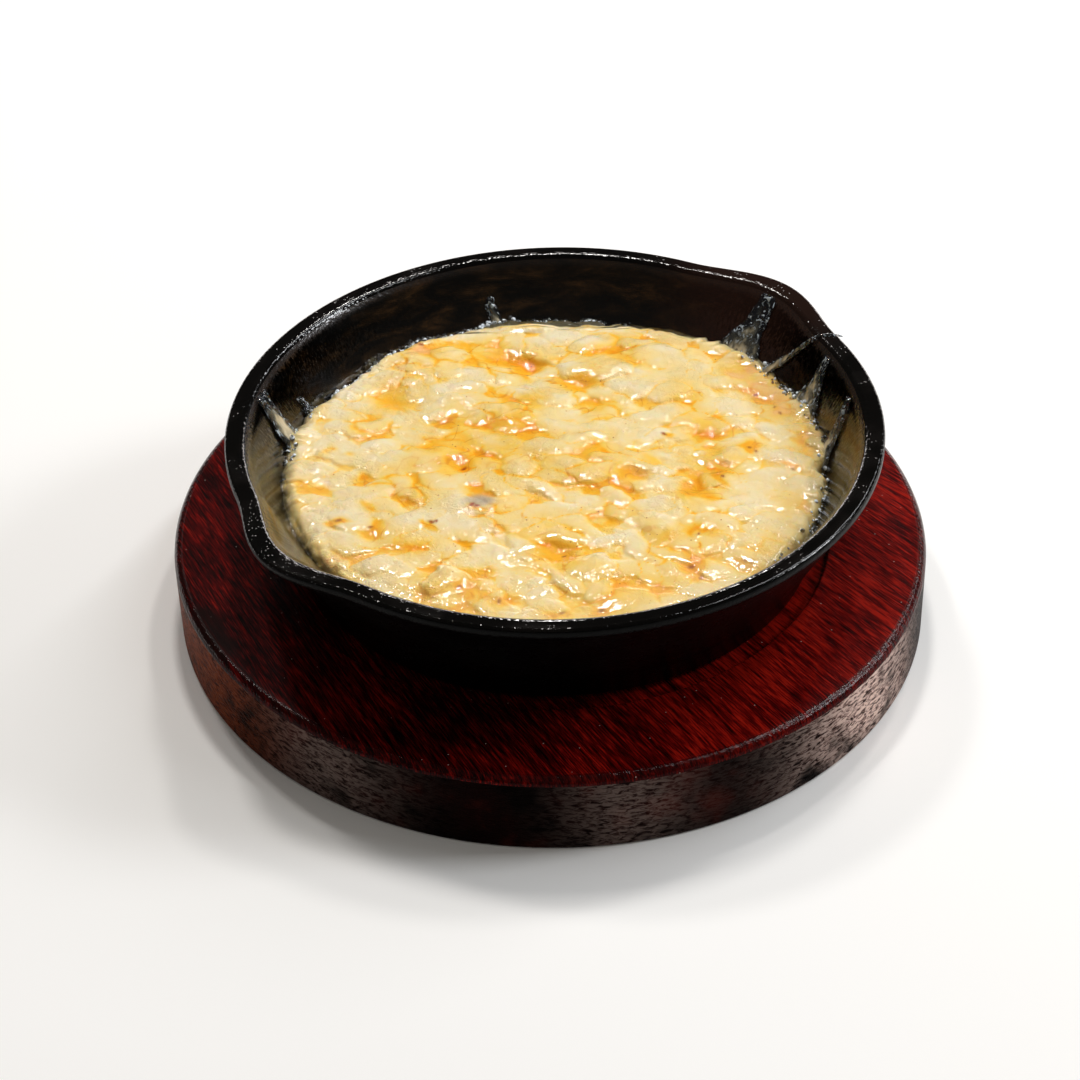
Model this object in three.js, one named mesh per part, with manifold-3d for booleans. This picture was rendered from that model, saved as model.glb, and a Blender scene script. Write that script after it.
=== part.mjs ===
// Melted cheese served in a small cast-iron pan with two pouring lips, which stands in the seat of its round
// wooden base. Millimetres, +Z up. The origin is the centre of the base's underside.
import * as THREE from "three";
import { mergeVertices } from "three/addons/utils/BufferGeometryUtils.js";
import Module from "manifold-3d";

const wasm = await Module();
wasm.setup();

// Driving dimensions
const TOUCH_GAP = 0.3; // left between pieces that rest on each other
const BASE = {
  radius: 97.2,
  height: 22,
  edge: 2.2,
  footEdge: 1,
  seatRadius: 72.3,
  seatDepth: 2.5,
  seatEdge: 0.8,
  grainAzimuth: -55,
  shrinkage: 0.0133, // across the grain; the disc, turned when wet, is that much longer along it
  segments: 72,
};
const PAN = {
  footRadius: 65.5,
  rimRadius: 82.5,
  height: 35.8,
  landWidth: 5,
  outerEdge: 1.1,
  innerEdge: 2,
  band: 3,
  bandStep: 0.9,
  bandSlope: 0.6,
  floor: 4.2,
  floorRadius: 60.5,
  footFillet: 4,
  footInset: 3,
  floorFillet: 7,
  standsAt: [2.1, -1.7], // where its axis stands in the base's wider seat
  segments: 88,
};
// The two lips: where they point, how far they reach, and how far down the wall they fade out.
const LIP = { azimuths: [43.5, -142.7], halfAngle: 18.5, reachOut: 5.3, reachIn: 4.4, depth: 14 };
const CHEESE = { level: 42, dome: 1.2, edgeDrop: 2.2, edgeWidth: 6, cell: 2.4, wallGap: 0.35 };

const panFootZ = BASE.height - BASE.seatDepth + TOUCH_GAP;
const rimZ = panFootZ + PAN.height;
const panFloorZ = panFootZ + PAN.floor;
const innerRimRadius = PAN.rimRadius - PAN.landWidth;
const degrees = Math.PI / 180;

const smoothstep = (t) => {
  const k = Math.min(Math.max(t, 0), 1);
  return k * k * (3 - 2 * k);
};

// Points of an arc, from one angle to another, as a Lathe profile wants them.
function arc(x, z, radius, from, to, steps) {
  const points = [];
  for (let i = 0; i <= steps; i++) {
    const a = (from + ((to - from) * i) / steps) * degrees;
    points.push(new THREE.Vector2(x + radius * Math.cos(a), z + radius * Math.sin(a)));
  }
  return points;
}

// A profile of radius and height turned round +Z.
function turned(profile, segments) {
  const geometry = new THREE.LatheGeometry(profile, segments);
  geometry.rotateX(Math.PI / 2);
  return geometry;
}

function solidOf(geometry) {
  const bare = geometry.index ? geometry.toNonIndexed() : geometry.clone();
  bare.deleteAttribute("normal");
  bare.deleteAttribute("uv");
  const merged = mergeVertices(bare, 1e-3);
  const vertProperties = merged.attributes.position.array;
  const triVerts = new Uint32Array(merged.index.array);
  return new wasm.Manifold(new wasm.Mesh({ numProp: 3, vertProperties, triVerts }));
}

function geometryOf(solid) {
  const mesh = solid.getMesh();
  const geometry = new THREE.BufferGeometry();
  geometry.setAttribute("position", new THREE.BufferAttribute(new Float32Array(mesh.vertProperties), 3));
  geometry.setIndex(new THREE.BufferAttribute(new Uint32Array(mesh.triVerts), 1));
  geometry.computeVertexNormals();
  return geometry;
}

// How much of a lip's reach applies at an azimuth and a height, from 0 to 1.
function lipShare(azimuth, z) {
  const down = smoothstep((z - (rimZ - LIP.depth)) / LIP.depth);
  let share = 0;
  for (const centre of LIP.azimuths) {
    const off = Math.abs(((azimuth / degrees - centre + 540) % 360) - 180);
    if (off < LIP.halfAngle) share += (1 + Math.cos((Math.PI * off) / LIP.halfAngle)) / 2;
  }
  return share * down;
}

// Moves a turned wall outwards at the lips, by a reach that depends on radius and height.
function pullLips(geometry, reachAt) {
  const p = geometry.attributes.position;
  for (let i = 0; i < p.count; i++) {
    const x = p.getX(i);
    const y = p.getY(i);
    const z = p.getZ(i);
    const radius = Math.hypot(x, y);
    if (radius < 1) continue;
    const pulled = radius + reachAt(radius, z) * lipShare(Math.atan2(y, x), z);
    p.setXY(i, (x * pulled) / radius, (y * pulled) / radius);
  }
  return geometry;
}

// The pan's inside, from the centre of its floor up to the inner edge of the rim, moved in by a gap.
function insideProfile(gap) {
  const slope = Math.atan2(innerRimRadius - PAN.floorRadius, rimZ - panFloorZ) / degrees;
  const reach = PAN.floorFillet * Math.tan(((90 - slope) / 2) * degrees);
  const centreX = PAN.floorRadius - reach;
  const fillet = arc(centreX, panFloorZ + PAN.floorFillet, PAN.floorFillet - gap, -90, -slope, 5);
  const top = new THREE.Vector2(innerRimRadius - gap / Math.cos(slope * degrees), rimZ);
  return [new THREE.Vector2(0, panFloorZ + gap), ...fillet, top];
}

// Radius of the pan's inside at a height above the floor's fillet, without the lips.
const wallRadius = (z) =>
  PAN.floorRadius + ((innerRimRadius - PAN.floorRadius) * (z - panFloorZ)) / (rimZ - panFloorZ);

function makeBase() {
  const { radius, height, edge, footEdge, seatRadius, seatDepth, seatEdge, grainAzimuth, shrinkage } = BASE;
  const profile = [
    new THREE.Vector2(0, 0),
    ...arc(radius - footEdge, footEdge, footEdge, -90, 0, 2),
    ...arc(radius - edge, height - edge, edge, 0, 90, 4),
    ...arc(seatRadius + seatEdge, height - seatEdge, seatEdge, 90, 180, 2),
    new THREE.Vector2(seatRadius, height - seatDepth),
    new THREE.Vector2(0, height - seatDepth),
  ];
  const disc = turned(profile, BASE.segments);
  disc.scale(1 + shrinkage, 1 - shrinkage, 1);
  return disc.rotateZ(grainAzimuth * degrees);
}

function makePan() {
  const { footRadius, footFillet, footInset, rimRadius, outerEdge, innerEdge } = PAN;
  const { band, bandStep, bandSlope } = PAN;
  const wallTop = new THREE.Vector2(rimRadius - bandStep, rimZ - band);
  const wallFoot = new THREE.Vector2(footRadius, panFootZ + footFillet);
  const lean = Math.atan2(wallTop.x - wallFoot.x, wallTop.y - wallFoot.y) / degrees;
  const inside = insideProfile(0);
  const profile = [
    new THREE.Vector2(0, panFootZ),
    ...arc(footRadius - footInset, panFootZ + footFillet, footFillet, -90, -lean, 4),
    wallTop,
    new THREE.Vector2(rimRadius, rimZ - band + bandSlope),
    ...arc(rimRadius - outerEdge, rimZ - outerEdge, outerEdge, 0, 90, 3),
    ...arc(innerRimRadius + innerEdge, rimZ - innerEdge, innerEdge, 90, 150, 3),
    ...inside.slice(0, -1).reverse(),
  ];
  const middleOfWall = (z) => wallRadius(z) + PAN.landWidth / 2;
  const reachAt = (radius, z) => (radius > middleOfWall(z) ? LIP.reachOut : LIP.reachIn);
  return pullLips(turned(profile, PAN.segments), reachAt);
}

// A small repeatable source of numbers from 0 to 1.
function randomSource(seed) {
  let state = seed;
  return () => {
    state = (Math.imul(state, 1664525) + 1013904223) >>> 0;
    return state / 4294967296;
  };
}

// The shreds that melted into one another: a spiral of places, each nudged, turned and sized by chance.
const SHREDS = {
  count: 210,
  reach: 72,
  seed: 20,
  nudge: [-2.5, 2.5],
  turn: [-1.25, 0.55],
  halfLength: [4.5, 9.5],
  halfWidth: [2.6, 4.4],
  crest: [0.5, 1.3],
  lift: [-0.4, 0.4],
  margin: 3, // how far past its end a shred still lifts the surface
  ground: -0.4, // height between shreds
  flatness: 0.75, // how much of their height is left as they melt
  meanHeight: 0.6,
};
const GOLDEN_ANGLE = 137.508 * degrees;

function scatterShreds() {
  const random = randomSource(SHREDS.seed);
  const between = ([low, high]) => low + (high - low) * random();
  const shreds = [];
  for (let i = 0; i < SHREDS.count; i++) {
    const distance = SHREDS.reach * Math.sqrt((i + 0.5) / SHREDS.count);
    const angle = i * GOLDEN_ANGLE;
    shreds.push({
      x: distance * Math.cos(angle) + between(SHREDS.nudge),
      y: distance * Math.sin(angle) + between(SHREDS.nudge),
      turn: between(SHREDS.turn),
      halfLength: between(SHREDS.halfLength),
      halfWidth: between(SHREDS.halfWidth),
      crest: between(SHREDS.crest),
      lift: between(SHREDS.lift),
    });
  }
  return shreds;
}

// Pieces under the cheese push it up into large lumps, and fat has gathered in dimples between them.
const LUMPS = [
  { x: 11, y: 41, turn: -0.1, halfLength: 10, halfWidth: 6, crest: 2.7, lift: 0.8 },
  { x: -1, y: 30, turn: 0.2, halfLength: 9, halfWidth: 6, crest: 1.9, lift: 0.5 },
  { x: 29, y: 47, turn: -0.4, halfLength: 9, halfWidth: 5, crest: 1.6, lift: 0.5 },
  { x: -33, y: 3, turn: 0.1, halfLength: 11, halfWidth: 6, crest: 1.7, lift: 0.4 },
  { x: -27, y: -47, turn: 0.1, halfLength: 6, halfWidth: 5, crest: 2.2, lift: 0.6 },
  { x: 8, y: -43, turn: 0, halfLength: 6, halfWidth: 5, crest: 2.3, lift: 0.7 },
  { x: 27, y: -31, turn: -0.9, halfLength: 12, halfWidth: 5, crest: 1.5, lift: 0.5 },
  { x: 44, y: 2, turn: 0, halfLength: 9, halfWidth: 5, crest: 1.5, lift: 0.4 },
  { x: -48, y: -12, turn: 0.5, halfLength: 8, halfWidth: 5.5, crest: 1.6, lift: 0.4 },
  { x: -38, y: -24, turn: 0.7, halfLength: 8, halfWidth: 4.5, crest: 1.6, lift: 0.5 },
  { x: 54, y: -28, turn: 0.3, halfLength: 6, halfWidth: 5, crest: 1.6, lift: 0.5 },
  { x: 19, y: 12, turn: -0.3, halfLength: 11, halfWidth: 5, crest: 1.3, lift: 0.4 },
];
const DIMPLES = [
  { x: -14, y: 49, radius: 5.5, depth: 1.2 },
  { x: -6, y: 44, radius: 3.5, depth: 1.3 },
  { x: -42, y: 32, radius: 5, depth: 0.9 },
  { x: 8, y: 35.5, radius: 3.5, depth: 1.2 },
  { x: 21, y: -7, radius: 3, depth: 1 },
  { x: 34, y: -12, radius: 3.5, depth: 1.2 },
  { x: 0, y: -36, radius: 4, depth: 1.5 },
  { x: -45, y: -30, radius: 3.5, depth: 1 },
  { x: -24, y: 1, radius: 3, depth: 0.9 },
  { x: 41, y: 4, radius: 2.5, depth: 0.9 },
  { x: 68.5, y: -4, radius: 2.4, depth: 3.6 },
];
// Slow waves of the whole surface: their height, and the lengths over which they turn by one radian.
const WAVES = [
  { height: 0.3, x: 11, y: 13, phase: 0.7 },
  { height: 0.3, x: 11, y: -13, phase: 1.9 },
  { height: 0.36, x: 7.5, y: 7.5, phase: 0 },
];
// Where the cheese climbs the wall towards its strings.
const CLIMBS = [
  { azimuth: 168, halfAngle: 5, height: 2.5 },
  { azimuth: 157, halfAngle: 3, height: 1.2 },
  { azimuth: 103, halfAngle: 4, height: 1.2 },
  { azimuth: 43, halfAngle: 8, height: 2.6 },
  { azimuth: 33, halfAngle: 5, height: 1.6 },
  { azimuth: 20, halfAngle: 7, height: 3.4 },
  { azimuth: 5, halfAngle: 6, height: 1.8 },
];
const CLIMB_WIDTH = 7; // how far from the wall the climb begins
const BLEND = 0.45; // how softly neighbouring shreds run together

// Height that one shred gives the surface at a point. Past its outline it falls away twice as fast.
function shredHeight(s, x, y) {
  const dx = x - s.x;
  const dy = y - s.y;
  const along = (dx * Math.cos(s.turn) + dy * Math.sin(s.turn)) / s.halfLength;
  const across = (dy * Math.cos(s.turn) - dx * Math.sin(s.turn)) / s.halfWidth;
  const fall = along * along + across * across;
  return s.lift + s.crest * (1 - fall) * (fall < 1 ? 1 : 2);
}

const shreds = [...scatterShreds(), ...LUMPS];

// Height of all shreds run together, about their mean.
function shredsHeight(x, y) {
  let sum = Math.exp(SHREDS.ground / BLEND);
  for (const s of shreds) {
    const reach = s.halfLength + SHREDS.margin;
    if (Math.abs(x - s.x) > reach || Math.abs(y - s.y) > reach) continue;
    sum += Math.exp(shredHeight(s, x, y) / BLEND);
  }
  return SHREDS.flatness * BLEND * Math.log(sum) - SHREDS.meanHeight;
}

const bell = (distance, width) => Math.exp(-((distance / width) ** 2));
const total = (list, heightOf) => list.reduce((sum, item) => sum + heightOf(item), 0);

function cheeseHeight(x, y) {
  const radius = Math.hypot(x, y);
  const azimuth = Math.atan2(y, x) / degrees;
  const toWall = wallRadius(CHEESE.level) - radius;
  const level = CHEESE.level + CHEESE.dome * (1 - (radius / SHREDS.reach) ** 2);
  const waves = total(WAVES, (w) => w.height * Math.sin(x / w.x + y / w.y + w.phase));
  const dimples = total(DIMPLES, (d) => d.depth * bell(Math.hypot(x - d.x, y - d.y), d.radius));
  const climbs = total(CLIMBS, (c) => c.height * bell(azimuth - c.azimuth, c.halfAngle));
  const rise = climbs * smoothstep(1 - toWall / CLIMB_WIDTH) ** 2;
  const drop = CHEESE.edgeDrop * (1 - smoothstep(toWall / CHEESE.edgeWidth)) ** 2;
  return level + waves + shredsHeight(x, y) - dimples + rise - drop;
}

// A block whose top carries the cheese's relief, raised by a gap.
function makeReliefBlock(gap) {
  const cells = Math.round((2 * wallRadius(rimZ)) / CHEESE.cell);
  const side = cells * CHEESE.cell;
  const block = new THREE.BoxGeometry(side, side, CHEESE.level - panFootZ, cells, cells, 1);
  block.translate(0, 0, (CHEESE.level + panFootZ) / 2);
  const p = block.attributes.position;
  for (let i = 0; i < p.count; i++) {
    if (p.getZ(i) < CHEESE.level) continue;
    p.setZ(i, cheeseHeight(p.getX(i), p.getY(i)) + gap);
  }
  return block;
}

// Strings that the cheese left on the wall when it boiled up: the azimuths where each starts and ends, the
// height of its tip, and its width at the foot and the tip.
const STRINGS = {
  string_left: { from: 168, to: 168, top: 54.4, foot: 5.9, tip: 3.4 },
  string_left_short: { from: 157, to: 157.5, top: 45.4, foot: 4.2, tip: 2 },
  string_back: { from: 102.5, to: 103, top: 47, foot: 4.5, tip: 2.5 },
  string_lip: { from: 42, to: 43.5, top: 54.4, foot: 14, tip: 3.6 },
  string_thread: { from: 36, to: 26.5, top: 54.8, foot: 4.2, tip: 2 },
  string_right_wide: { from: 18.5, to: 20.5, top: 54, foot: 11, tip: 2 },
  string_right: { from: 0.5, to: 7, top: 53, foot: 7, tip: 2 },
};
const STRING = { depth: 1.7, root: 5, taper: 1.3, sides: 8, steps: 6 }; // root: how far below the level

// A tapering cylinder laid along the pan's inside wall, lip included.
function makeRawString({ from, to, top, foot, tip }) {
  const bottom = CHEESE.level - STRING.root;
  const cylinder = new THREE.CylinderGeometry(1, 1, 1, STRING.sides, STRING.steps);
  const p = cylinder.attributes.position;
  for (let i = 0; i < p.count; i++) {
    const up = p.getY(i) + 0.5;
    const z = bottom + (top - bottom) * up;
    const width = tip + (foot - tip) * (1 - up) ** STRING.taper;
    const azimuth = (from + (to - from) * up) * degrees;
    const wall = wallRadius(z) + LIP.reachIn * lipShare(azimuth, z);
    const radius = wall - 0.5 * STRING.depth * (1 - p.getZ(i));
    const side = azimuth + (p.getX(i) * width) / 2 / wall;
    p.setXYZ(i, radius * Math.cos(side), radius * Math.sin(side), z);
  }
  return solidOf(cylinder);
}

function makePlug() {
  const inside = insideProfile(CHEESE.wallGap);
  return solidOf(pullLips(turned([...inside, new THREE.Vector2(0, rimZ)], PAN.segments), () => LIP.reachIn));
}

const plug = makePlug();
const overCheese = solidOf(makeReliefBlock(TOUCH_GAP));
const makeCheese = () => geometryOf(solidOf(makeReliefBlock(0)).intersect(plug));
const makeString = (s) => geometryOf(makeRawString(s).intersect(plug).subtract(overCheese));

const part = new THREE.Group();
const served = new THREE.Group();
served.position.set(...PAN.standsAt, 0);
part.add(served);

function place(group, name, geometry, finish) {
  const mesh = new THREE.Mesh(geometry, new THREE.MeshStandardMaterial(finish));
  mesh.name = name;
  group.add(mesh);
}

place(part, "wooden_base", makeBase(), { color: 0x5a0f0c, roughness: 0.35, metalness: 0 });
place(served, "iron_pan", makePan(), { color: 0x0b0a0a, roughness: 0.35, metalness: 0.2 });
place(served, "melted_cheese", makeCheese(), { color: 0xf0d695, roughness: 0.25, metalness: 0 });
for (const [name, s] of Object.entries(STRINGS)) {
  place(served, name, makeString(s), { color: 0xcfc4a8, roughness: 0.2, metalness: 0 });
}

export default part;
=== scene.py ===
# Melted cheese in a small cast-iron pan that stands in its wooden base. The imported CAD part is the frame, and
# each piece below stands in the place of its CAD node.
import math
from collections import namedtuple

import bmesh
import bpy
import numpy as np
from mathutils import Matrix, Vector


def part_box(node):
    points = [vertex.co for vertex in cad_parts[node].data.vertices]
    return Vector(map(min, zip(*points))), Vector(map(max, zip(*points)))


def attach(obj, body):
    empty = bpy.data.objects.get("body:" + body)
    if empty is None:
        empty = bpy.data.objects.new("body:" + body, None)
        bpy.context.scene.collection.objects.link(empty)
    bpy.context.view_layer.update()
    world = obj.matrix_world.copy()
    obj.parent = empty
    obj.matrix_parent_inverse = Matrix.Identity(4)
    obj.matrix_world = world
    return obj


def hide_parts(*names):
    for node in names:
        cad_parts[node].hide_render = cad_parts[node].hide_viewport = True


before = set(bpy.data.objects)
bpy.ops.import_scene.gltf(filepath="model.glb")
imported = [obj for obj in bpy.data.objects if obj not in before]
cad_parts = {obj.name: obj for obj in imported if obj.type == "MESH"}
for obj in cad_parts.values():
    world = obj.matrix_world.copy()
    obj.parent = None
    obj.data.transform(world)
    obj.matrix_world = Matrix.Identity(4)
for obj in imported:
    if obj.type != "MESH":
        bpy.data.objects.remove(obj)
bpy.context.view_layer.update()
MM = 0.001


# Wooden base: a turned disc of pale hardwood with a routed seat for the pan. It is stained wine red and
# lacquered, with a nearly black, wrinkled coat on its side. The wood has shrunk across its grain.
BASE_RADIUS = 97.2 * MM
BASE_EDGE = 2.2 * MM
BASE_FOOT_EDGE = 0.8 * MM
SEAT_RADIUS = 72.3 * MM
SEAT_DEPTH = 2.5 * MM
SEAT_EDGE = 0.7 * MM
SEAT_CORNER = 0.6 * MM
SHRINKAGE = 0.0133
GRAIN_AZIMUTH = math.radians(-55)
# The grain bends a little round a place far outside the disc.
GRAIN_HEART = (-381 * MM, 587 * MM, 0)
BASE_TURNS = 288
# Where rings cut the base: shares of its height on the side, and radii on the top and in the seat.
SIDE_SHARES = (0.25, 0.45, 0.65, 0.8)
TOP_RINGS = (93, 89, 84, 79)
SEAT_RING = 66 * MM
BRIM_RADIUS = 95.1 * MM
# One dark patch on the top near the brim.
SCORCH_AZIMUTH = -154
SCORCH_WIDTH = 8
SCORCH_RADIUS = 92.5 * MM
SCORCH_REACH = 4.5 * MM
# Azimuth, half width and strength of the places where pale sheen is painted onto the side.
SHEEN_PLACES = [(-39, 12.5, 0.92), (-80, 8, 0.14), (-125, 10, 0.16), (70, 30, 0.2)]


class Wire:
    """An output in a material's node tree. Arithmetic on wires adds Math nodes."""

    def __init__(self, tree, socket):
        self.tree = tree
        self.socket = socket

    def node(self, kind, settings=None, inputs=None, output=0):
        """Adds a node, sets its settings, then gives its sockets values or wires."""
        made = self.tree.nodes.new("ShaderNode" + kind)
        for name, value in (settings or {}).items():
            if name == "stops":
                while len(made.color_ramp.elements) < len(value):
                    made.color_ramp.elements.new(1.0)
                for stop, (position, colour) in zip(made.color_ramp.elements, value):
                    stop.position = position
                    stop.color = (*colour, 1.0)
            else:
                setattr(made, name, value)
        for name, value in (inputs or {}).items():
            if isinstance(value, Wire):
                self.tree.links.new(value.socket, made.inputs[name])
            else:
                made.inputs[name].default_value = value
        return Wire(self.tree, made.outputs[output])

    def maths(self, operation, *values):
        return self.node("Math", {"operation": operation}, dict(enumerate(values)))

    def __add__(self, other):
        return self.maths("ADD", self, other)

    def __radd__(self, other):
        return self.maths("ADD", other, self)

    def __sub__(self, other):
        return self.maths("SUBTRACT", self, other)

    def __rsub__(self, other):
        return self.maths("SUBTRACT", other, self)

    def __mul__(self, other):
        return self.maths("MULTIPLY", self, other)

    def __rmul__(self, other):
        return self.maths("MULTIPLY", other, self)

    def part(self, axis):
        """One component of a vector."""
        return self.node("SeparateXYZ", None, {"Vector": self}, axis)

    def noise(self, scale, detail=2.0, roughness=0.5, distortion=0.0):
        """Noise read at this vector, from 0 to 1."""
        sockets = {"Vector": self, "Scale": scale, "Detail": detail}
        sockets.update({"Roughness": roughness, "Distortion": distortion})
        return self.node("TexNoise", None, sockets)

    def step(self, low, high, start=0.0, end=1.0):
        """Goes smoothly from start to end as this value goes from low to high."""
        sockets = {"Value": self, "From Min": low, "From Max": high, "To Min": start, "To Max": end}
        return self.node("MapRange", {"interpolation_type": "SMOOTHSTEP"}, sockets)

    def ramp(self, *stops):
        """A colour from this value."""
        return self.node("ValToRGB", {"stops": stops}, {"Fac": self})

    def blend(self, colour, other):
        """A colour that goes to the other as this value goes from 0 to 1."""
        sockets = {0: self, 6: colour, 7: other}
        return self.node("Mix", {"data_type": "RGBA"}, sockets, 2)

    def bump(self, distance, strength):
        """A normal from this height, in units of the given distance."""
        return self.node("Bump", None, {"Height": self, "Distance": distance, "Strength": strength})


def new_finish(name, fixed):
    """A material whose Principled shader has the fixed values, with a wire of the object's coordinates."""
    material = bpy.data.materials.new(name)
    material.use_nodes = True
    shader = material.node_tree.nodes["Principled BSDF"]
    for socket, value in fixed.items():
        shader.inputs[socket].default_value = value
    return material, Wire(material.node_tree, None).node("TexCoord", output="Object")


def feed(material, **wires):
    """Leads wires into the Principled shader's sockets."""
    shader = material.node_tree.nodes["Principled BSDF"]
    for name, wire in wires.items():
        material.node_tree.links.new(wire.socket, shader.inputs[name.replace("_", " ").title()])


def arc(x, z, radius, start, end, steps):
    """Points of an arc in the plane of an outline, its angles in degrees."""
    angles = np.radians(np.linspace(start, end, steps + 1))
    return [(x + radius * math.cos(a), z + radius * math.sin(a)) for a in angles]


def spun(outline, turns):
    """A closed solid from an outline of (radius, height) that starts and ends on the axis."""
    bm = bmesh.new()
    points = [bm.verts.new((radius, 0, height)) for radius, height in outline]
    edges = [bm.edges.new(pair) for pair in zip(points, points[1:])]
    whole = {"cent": (0, 0, 0), "axis": (0, 0, 1), "angle": math.tau, "steps": turns, "use_merge": True}
    bmesh.ops.spin(bm, geom=points + edges, **whole)
    bmesh.ops.remove_doubles(bm, verts=bm.verts, dist=1e-7)
    bmesh.ops.recalc_face_normals(bm, faces=bm.faces)
    return bm


def places(bm):
    """The coordinates of a mesh's vertices, one row each."""
    return np.array([v.co for v in bm.verts])


def move(bm, coordinates):
    """Puts a mesh's vertices at new coordinates."""
    for vertex, co in zip(bm.verts, coordinates):
        vertex.co = co


def finished(bm, name, material, slot, nodes, **marks):
    """Makes the piece, smooth and with its marks as attributes, in place of its CAD nodes."""
    mesh = bpy.data.meshes.new(name)
    bm.to_mesh(mesh)
    bm.free()
    mesh.shade_smooth()
    mesh.materials.append(material)
    for mark, values in marks.items():
        written = mesh.attributes.new(mark, "FLOAT", "POINT").data
        written.foreach_set("value", np.asarray(values, np.float32))
    piece = bpy.data.objects.new(name, mesh)
    bpy.context.scene.collection.objects.link(piece)
    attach(piece, "root")
    if nodes:
        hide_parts(*nodes)
    return piece


def mark_wire(place, name):
    """Reads a piece's own attribute."""
    return place.node("Attribute", {"attribute_name": name}, None, "Fac")


def stained_top(name, shine):
    """Wine-red stain under a thin lacquer, over nearly straight grain, with painted light that makes it lighter
    at the right and darker at the left.
    """
    material, place = new_finish(name, {"IOR": 1.45, "Specular IOR Level": shine})
    heart = place.node("VectorMath", {"operation": "SUBTRACT"}, {0: place, 1: GRAIN_HEART})
    across = 0.70 * heart.maths("ARCTAN2", heart.part(1), heart.part(0))
    along = heart.node("VectorMath", {"operation": "LENGTH"}, {0: heart}, "Value")
    grain = heart.node("CombineXYZ", None, {0: across, 1: 0.055 * along, 2: 0.3 * place.part(2)})
    bands = grain.noise(110, 2)
    streaks = grain.noise(820, 3, 0.6)
    pores = grain.noise(3300, 2, 0.6)
    cloud = place.noise(24, 2)
    tone = 0.16 * bands + 0.32 * streaks + 0.52 * pores + 0.25 * (cloud - 0.5)
    # Painted light: the stain goes lighter towards the right and darker towards the left.
    tone = tone + place.part(0).step(-0.06, 0.09, -0.015, 0.030)
    stain = tone.ramp(
        (0.39, (0.0035, 0.0004, 0.0005)),
        (0.47, (0.030, 0.0005, 0.0006)),
        (0.54, (0.095, 0.0012, 0.0011)),
        (0.64, (0.32, 0.010, 0.004)),
    )
    brim = mark_wire(place, "brim")
    stain = (0.7 * brim * cloud.step(0.4, 0.6)).blend(stain, (0.012, 0.0012, 0.0012, 1))
    scorch = (mark_wire(place, "scorched") + 0.7 * (streaks - 0.5)).step(0.30, 0.85, 0, 0.85)
    stain = scorch.blend(stain, (0.008, 0.0022, 0.0018, 1))
    dust = place.node("TexVoronoi", None, {"Vector": place, "Scale": 310.0}, "Distance")
    stain = dust.step(0.035, 0.06, 0.6, 0).blend(stain, (0.6, 0.5, 0.45, 1))
    relief = 0.25 * pores + 0.10 * streaks + brim * 0.5 * place.noise(1300, 2)
    gloss = 0.25 + 0.1 * cloud - 0.15 * brim
    feed(material, base_color=stain, roughness=gloss, normal=relief.bump(0.5 * MM, 0.6))
    return material


def wrinkled_side():
    """Nearly black lacquer that has wrinkled, with pale sheen painted where it would catch the light, thin and
    brown at the left.
    """
    material, place = new_finish("wrinkled_side", {"IOR": 1.45, "Specular IOR Level": 0.01})
    worn = mark_wire(place, "worn")
    round_side = BASE_RADIUS * place.maths("ARCTAN2", place.part(1), place.part(0)) + 0.5 * place.part(2)
    wrinkles = place.node("CombineXYZ", None, {0: round_side, 1: 2.8 * place.part(2)}).noise(430, 3, 0.6, 0.8)
    patch = place.noise(60, 3, 0.6)
    coat = patch.ramp(
        (0.38, (0.0016, 0.0006, 0.0005)),
        (0.56, (0.007, 0.0014, 0.0011)),
        (0.74, (0.040, 0.006, 0.004)),
    )
    painted_sheen_colour = wrinkles.ramp(
        (0.37, (0.014, 0.005, 0.004)),
        (0.44, (0.30, 0.18, 0.155)),
        (0.55, (0.93, 0.69, 0.60)),
    )
    bare = wrinkles.ramp(
        (0.40, (0.040, 0.007, 0.003)),
        (0.49, (0.22, 0.042, 0.012)),
        (0.64, (0.28, 0.064, 0.022)),
    )
    coat = (place.part(0).step(-0.092, -0.055, 0.95, 0) * patch.step(0.30, 0.46)).blend(coat, bare)
    # Painted sheen: pale wrinkled colour where the side would catch the light.
    stain = (worn * patch.step(0.28, 0.50)).blend(coat, painted_sheen_colour)
    feed(material, base_color=stain, roughness=0.24 + 0.2 * patch, normal=wrinkles.bump(0.8 * MM, 0.9))
    return material


_, base_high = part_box("wooden_base")
top = base_high.z
seat_z = top - SEAT_DEPTH
outline = [
    (0, 0),
    *arc(BASE_RADIUS - BASE_FOOT_EDGE, BASE_FOOT_EDGE, BASE_FOOT_EDGE, -90, 0, 3),
    *[(BASE_RADIUS, z * top) for z in SIDE_SHARES],
    *arc(BASE_RADIUS - BASE_EDGE, top - BASE_EDGE, BASE_EDGE, 0, 90, 6),
    *[(r * MM, top) for r in TOP_RINGS],
    *arc(SEAT_RADIUS + SEAT_EDGE, top - SEAT_EDGE, SEAT_EDGE, 90, 180, 4),
    *arc(SEAT_RADIUS - SEAT_CORNER, seat_z + SEAT_CORNER, SEAT_CORNER, 0, -90, 3),
    (SEAT_RING, seat_z),
    (0, seat_z),
]
bm = spun(outline, BASE_TURNS)
for face in bm.faces:
    middle = face.calc_center_median()
    if middle.z < top - BASE_EDGE and face.normal.z < 0.7:
        face.material_index = 1
    elif middle.xy.length > BRIM_RADIUS and face.normal.z > 0.6:
        face.material_index = 2
brim = [v.co.xy.length > BRIM_RADIUS for v in bm.verts]
bmesh.ops.scale(bm, verts=bm.verts, vec=(1 + SHRINKAGE, 1 - SHRINKAGE, 1))
bmesh.ops.rotate(bm, verts=bm.verts, matrix=Matrix.Rotation(GRAIN_AZIMUTH, 3, "Z"))
azimuths = np.degrees(np.arctan2([v.co.y for v in bm.verts], [v.co.x for v in bm.verts]))
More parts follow.
